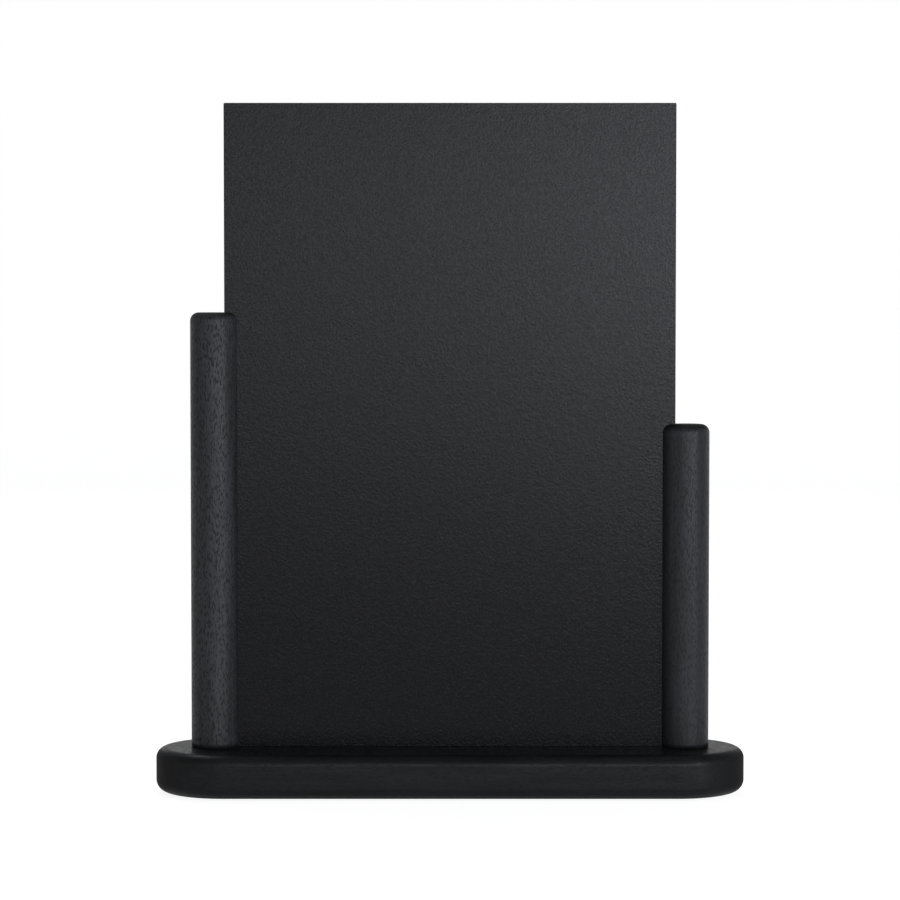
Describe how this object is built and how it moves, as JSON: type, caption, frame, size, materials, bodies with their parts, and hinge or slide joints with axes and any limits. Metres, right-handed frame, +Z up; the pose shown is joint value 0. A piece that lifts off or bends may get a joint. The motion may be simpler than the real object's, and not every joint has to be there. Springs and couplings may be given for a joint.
{
  "type": "table-top chalkboard stand",
  "caption": "Double-sided black writing board standing in the slots of two round posts of different height on a round-ended wooden base.",
  "frame": {"origin": "on the table, under the middle of the base", "axes": "+Z up, +X along the base from the tall post to the short post, -Y towards the viewer"},
  "size_m": [0.275, 0.066, 0.3215],
  "materials": {
    "stained_wood": "black stain with fine open pores under satin lacquer",
    "writing_sheet": "black, matt and finely grained for chalk",
    "hardboard": "black-dyed dense fibreboard, sanded edges",
    "beech": "bare fluted beech",
    "zinc_steel": "bright zinc-plated steel",
    "foot_rubber": "matt black rubber"
  },
  "bodies": {
    "stand": {"base_board": "stained_wood", "tall_post": "stained_wood", "short_post": "stained_wood", "tall_post_screw": "zinc_steel", "short_post_screw": "zinc_steel", "tall_post_pin": "beech", "short_post_pin": "beech", "front_left_foot": "foot_rubber", "front_right_foot": "foot_rubber", "rear_left_foot": "foot_rubber", "rear_right_foot": "foot_rubber"},
    "board": {"board_core": "hardboard", "front_writing_sheet": "writing_sheet", "rear_writing_sheet": "writing_sheet"}
  },
  "joints": [
    {"name": "board_lift", "type": "slide", "parent": "stand", "child": "board", "axis": [0, 0, 1], "range_m": [0, 0.205]}
  ]
}
